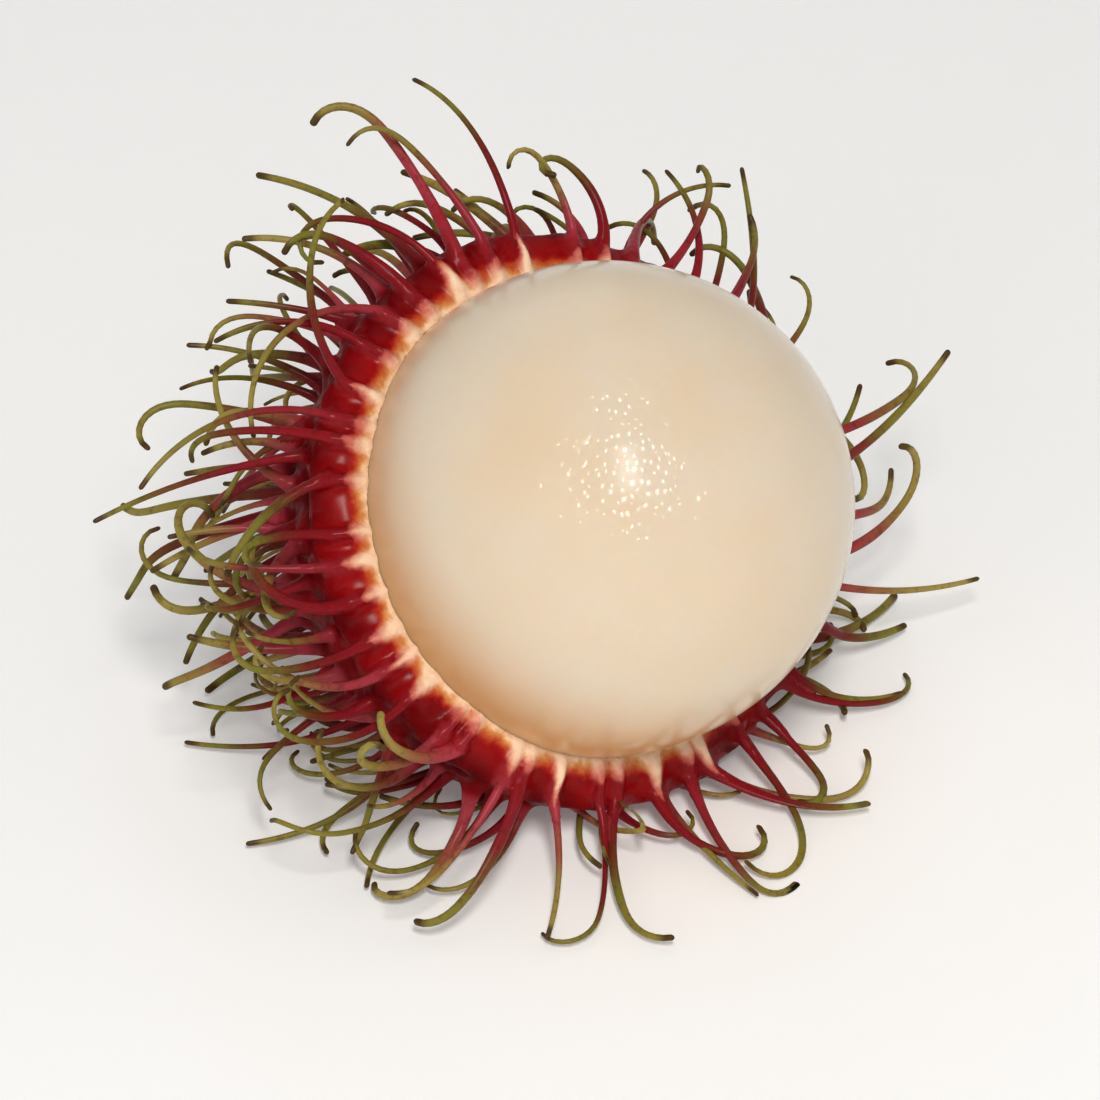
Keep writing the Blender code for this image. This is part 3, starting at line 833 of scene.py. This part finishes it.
def skin_finish():
    """Cream where it is cut, through orange that is partly painted glow of light through the thin rind, to
    red skin with painted shade low between the spines and away from the cut; the spines fade to olive tips.
    """
    finish = Finish("rind_skin", IOR=1.3, Subsurface_Weight=0.1, Subsurface_Scale=0.0008)
    finish.shader.inputs["Subsurface Radius"].default_value = (1.0, 0.3, 0.15)
    finish.shader.inputs["Specular IOR Level"].default_value = 0.05
    finish.shader.inputs["Coat Roughness"].default_value = 0.24
    finish.shader.inputs["Coat IOR"].default_value = 1.35
    distance = finish.attribute("distance")
    tone = finish.attribute("tone")
    shift = finish.span(tone, 0, 1, -0.16, 0.16)
    mottle = finish.span(finish.noise(0.0024), 0.3, 0.7, -0.06, 0.06)
    shift = finish.sum(finish.sum(shift, mottle), finish.span(distance, 0, 3), "MULTIPLY")
    place = finish.sum(finish.attribute("share"), shift)
    blotch = finish.span(finish.noise(0.0035, 4), 0.35, 0.7)
    skin = finish.mix(blotch, srgb(148, 6, 9), srgb(116, 3, 7))
    # Painted shade: the skin darkens away from the cut, where it lies between the dense spines
    skin = finish.mix(finish.attribute("depth"), skin, finish.mix(blotch, srgb(122, 7, 12), srgb(78, 3, 8)))
    pink = finish.ramp(
        place,
        (0.0, srgb(150, 34, 42)),
        (0.12, srgb(172, 58, 72)),
        (0.34, srgb(160, 60, 66)),
        (0.5, srgb(150, 86, 64)),
        (0.66, srgb(146, 122, 62)),
        (1.0, srgb(158, 144, 74)),
    )
    crimson = finish.ramp(
        place,
        (0.0, srgb(134, 20, 28)),
        (0.26, srgb(124, 20, 30)),
        (0.44, srgb(110, 38, 28)),
        (0.58, srgb(104, 76, 34)),
        (0.74, srgb(116, 114, 44)),
        (1.0, srgb(134, 122, 52)),
    )
    other_tone = finish.sum(finish.sum(tone, 7.3, "MULTIPLY"), 0, "FRACT")
    shaft = finish.mix(finish.span(other_tone, 0.25, 1.0), crimson, pink)
    end = finish.span(finish.attribute("left"), 0.25, 1.1, 0.85, 0)
    shaft = finish.mix(end, shaft, srgb(58, 34, 20))
    speck = finish.span(finish.noise(0.0005, 2), 0.5, 0.75, 0, 0.45)
    shaft = finish.mix(speck, shaft, srgb(70, 26, 16))
    base = finish.mix(finish.attribute("shaft"), skin, shaft)
    pit = finish.attribute("pit")
    # Painted shade: the low skin between the spines turns dark crimson
    base = finish.mix(pit, base, PIT_SHADE_CRIMSON)
    grain = finish.span(finish.noise(0.0006), 0.3, 0.7, -0.08, 0.08)
    ripe = finish.sum(finish.attribute("ripe"), grain)
    # The orange between the cream and the red is partly the cut rind's own colour and partly painted glow
    # of light through its thin edge
    cut = finish.ramp(
        ripe,
        (0.0, CREAM),
        (0.12, srgb(236, 188, 140)),
        (0.26, srgb(210, 142, 84)),
        (0.48, srgb(192, 88, 46)),
        (0.7, srgb(164, 30, 20)),
        (1.0, srgb(146, 8, 11)),
    )
    # The pink along the ridges is partly their own paler colour and partly a painted highlight along their
    # crests
    ridge = finish.ramp(
        ripe,
        (0.0, CREAM),
        (0.25, srgb(236, 184, 154)),
        (0.6, srgb(204, 108, 94)),
        (1.0, srgb(166, 44, 48)),
    )
    cut = finish.mix(finish.attribute("shaft"), cut, ridge)
    finish.set("Base Color", finish.mix(finish.span(ripe, 0.7, 0.95), cut, base))
    hidden = finish.sum(finish.attribute("depth"), finish.attribute("shaft"), "SUBTRACT")
    finish.set("Coat Weight", finish.span(finish.sum(hidden, pit), 0, 1, 0.32, 0.0))
    finish.set("Roughness", finish.span(pit, 0, 1, 0.36, 0.7))
    pebbles = finish.sum(finish.cells(0.0009), finish.noise(0.0003), "MULTIPLY")
    juice = finish.sum(finish.noise(0.0005, 2), finish.span(ripe, 0.6, 0.9, 0.9, 0), "MULTIPLY")
    finish.set("Normal", finish.bump(finish.sum(pebbles, juice), 0.00018, 0.6))
    return finish.material


def flesh_finish():
    """Wet, milky and translucent, with painted shade: tan low down by the rind and on its lower side."""
    finish = Finish("wet_flesh", Roughness=0.16, Subsurface_Weight=1.0, Subsurface_Scale=0.003, IOR=1.38)
    finish.shader.inputs["Subsurface Radius"].default_value = (1.0, 0.62, 0.36)
    finish.shader.inputs["Specular IOR Level"].default_value = 0.1
    finish.shader.inputs["Coat Roughness"].default_value = 0.21
    finish.shader.inputs["Coat IOR"].default_value = 1.4
    cloud = finish.span(finish.noise(0.011, 2), 0.35, 0.7)
    base = finish.mix(cloud, srgb(226, 211, 190), srgb(226, 206, 178))
    # Painted shade: tan where the flesh is low by the rind and on its lower side
    base = finish.mix(finish.span(finish.attribute("pale"), 0, 1), srgb(216, 165, 114), base)
    finish.set("Base Color", base)
    off_juice = finish.attribute("off_juice")
    dry_coat = finish.span(finish.attribute("above_rim"), 5, 16, 0.12, 0.5)
    finish.set("Coat Weight", finish.sum(dry_coat, finish.span(off_juice, 18, 38, 0.35, 0)))
    off_middle = finish.cells(0.0007, "F1")
    beads = finish.sum(1, finish.sum(off_middle, off_middle, "MULTIPLY"), "SUBTRACT")
    patches = finish.span(finish.noise(0.003, 1), 0.3, 0.6, 0.35, 1)
    patches = finish.sum(patches, finish.span(off_juice, 18, 34, 1, 0), "MULTIPLY")
    beads = finish.sum(beads, patches, "MULTIPLY")
    finish.set("Coat Normal", finish.bump(beads, 0.00018))
    return finish.material


def scar_finish():
    """Dry brown wood."""
    finish = Finish("scar_wood", Roughness=0.8)
    colour = finish.ramp(finish.noise(0.0007), (0.3, srgb(70, 42, 24)), (0.7, srgb(132, 98, 62)))
    finish.set("Base Color", colour)
    finish.set("Normal", finish.bump(finish.noise(0.0004), 0.0002, 0.8))
    return finish.material


def floor_finish():
    """Plain pale card."""
    finish = Finish("pale_floor", Roughness=0.75)
    finish.set("Base Color", (0.94, 0.94, 0.94, 1))
    finish.set("Emission Color", (1, 1, 1, 1))
    finish.set("Emission Strength", 0.11)
    return finish.material


# ---------------------------------------------------------------- floor, light and camera


def stage():
    """A pale floor that curves up into a wall all round."""
    flat, bend, top, columns = 1.0, 0.5, 1.4, 96
    radii = [0.02, 0.2, 0.6]
    profile = [(radius, 0.0) for radius in radii]
    for step in range(13):
        turned = math.pi / 2 * step / 12
        profile.append((flat + bend * math.sin(turned), bend * (1 - math.cos(turned))))
    profile.append((flat + bend, top))
    angles = np.arange(columns) * 2 * math.pi / columns
    points = [[0, 0, 0]]
    for radius, height in profile:
        points += [[radius * math.cos(a), radius * math.sin(a), height] for a in angles]
    faces = [[0, 1 + c, 1 + (c + 1) % columns] for c in range(columns)]
    for row in range(len(profile) - 1):
        for c in range(columns):
            a, b = 1 + row * columns + c, 1 + row * columns + (c + 1) % columns
            faces.append([a, a + columns, b + columns, b])
    floor = mesh_object("floor", np.array(points), faces, {})
    floor.data.materials.append(floor_finish())
    floor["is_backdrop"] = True


def view_axes():
    """Towards the camera, to its right and up."""
    a, e = CAMERA_AZIMUTH, CAMERA_ELEVATION
    back = Vector((math.sin(a) * math.cos(e), -math.cos(a) * math.cos(e), math.sin(e)))
    right = Vector((math.cos(a), math.sin(a), 0))
    return back, right, back.cross(right)


def camera():
    """The camera at the fruit, a little off its middle."""
    back, right, up = view_axes()
    aim = FRUIT_TO_ROW.translation - right * AIM_LEFT - up * AIM_DOWN
    data = bpy.data.cameras.new("camera")
    data.sensor_width = SENSOR_WIDTH
    data.lens = SENSOR_WIDTH * CAMERA_DISTANCE / FRAME_WIDTH
    data.clip_start = 0.01
    obj = bpy.data.objects.new("camera", data)
    bpy.context.scene.collection.objects.link(obj)
    obj.location = aim + back * CAMERA_DISTANCE
    obj.rotation_mode = "QUATERNION"
    obj.rotation_quaternion = (-back).to_track_quat("-Z", "Y")
    bpy.context.scene.camera = obj


def area_light(name, place, width, height, watts, colour=(1, 1, 1)):
    """A light at a place relative to the fruit, facing it."""
    data = bpy.data.lights.new(name, "AREA")
    data.shape = "RECTANGLE"
    data.size, data.size_y = width, height
    data.energy = watts
    data.color = colour
    obj = bpy.data.objects.new(name, data)
    bpy.context.scene.collection.objects.link(obj)
    obj.location = FRUIT_TO_ROW.translation + place
    obj.rotation_mode = "QUATERNION"
    obj.rotation_quaternion = (-place).to_track_quat("-Z", "Y")


def lights():
    """A flash by the camera, for the highlight, and soft light from three sides."""
    back, right, up = view_axes()
    area_light("flash", back * 0.5 + up * 0.15 + right * 0.03, 0.08, 0.18, 1.7, (1, 0.97, 0.92))
    area_light("overhead", Vector((0.1, 0.3, 0.9)), 0.9, 0.9, 1.1)
    area_light("left", Vector((-0.9, -0.3, 0.45)), 0.6, 0.6, 0.9)
    area_light("behind", Vector((0.5, 0.9, 0.6)), 0.6, 0.6, 0.7)
    world = bpy.data.worlds.new("studio")
    world.use_nodes = True
    world.node_tree.nodes["Background"].inputs["Color"].default_value = (1, 1, 1, 1)
    world.node_tree.nodes["Background"].inputs["Strength"].default_value = 0.1
    bpy.context.scene.world = world
    bpy.context.scene.view_settings.view_transform = "Standard"


def dress(obj, material, node):
    """Gives a piece its material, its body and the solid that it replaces."""
    obj.data.materials.append(material)
    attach(obj, "root")
    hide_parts(node)


SKIN = skin_finish()
dress(rind(), SKIN, "rind")
dress(spines(), SKIN, "rind")
dress(scar(), scar_finish(), "rind")
dress(aril(), flesh_finish(), "aril")
stage()
camera()
lights()

boxes = {"cad": CAD_BOX, "visual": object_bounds()}
{key: [list(corner) for corner in box] for key, box in boxes.items()}
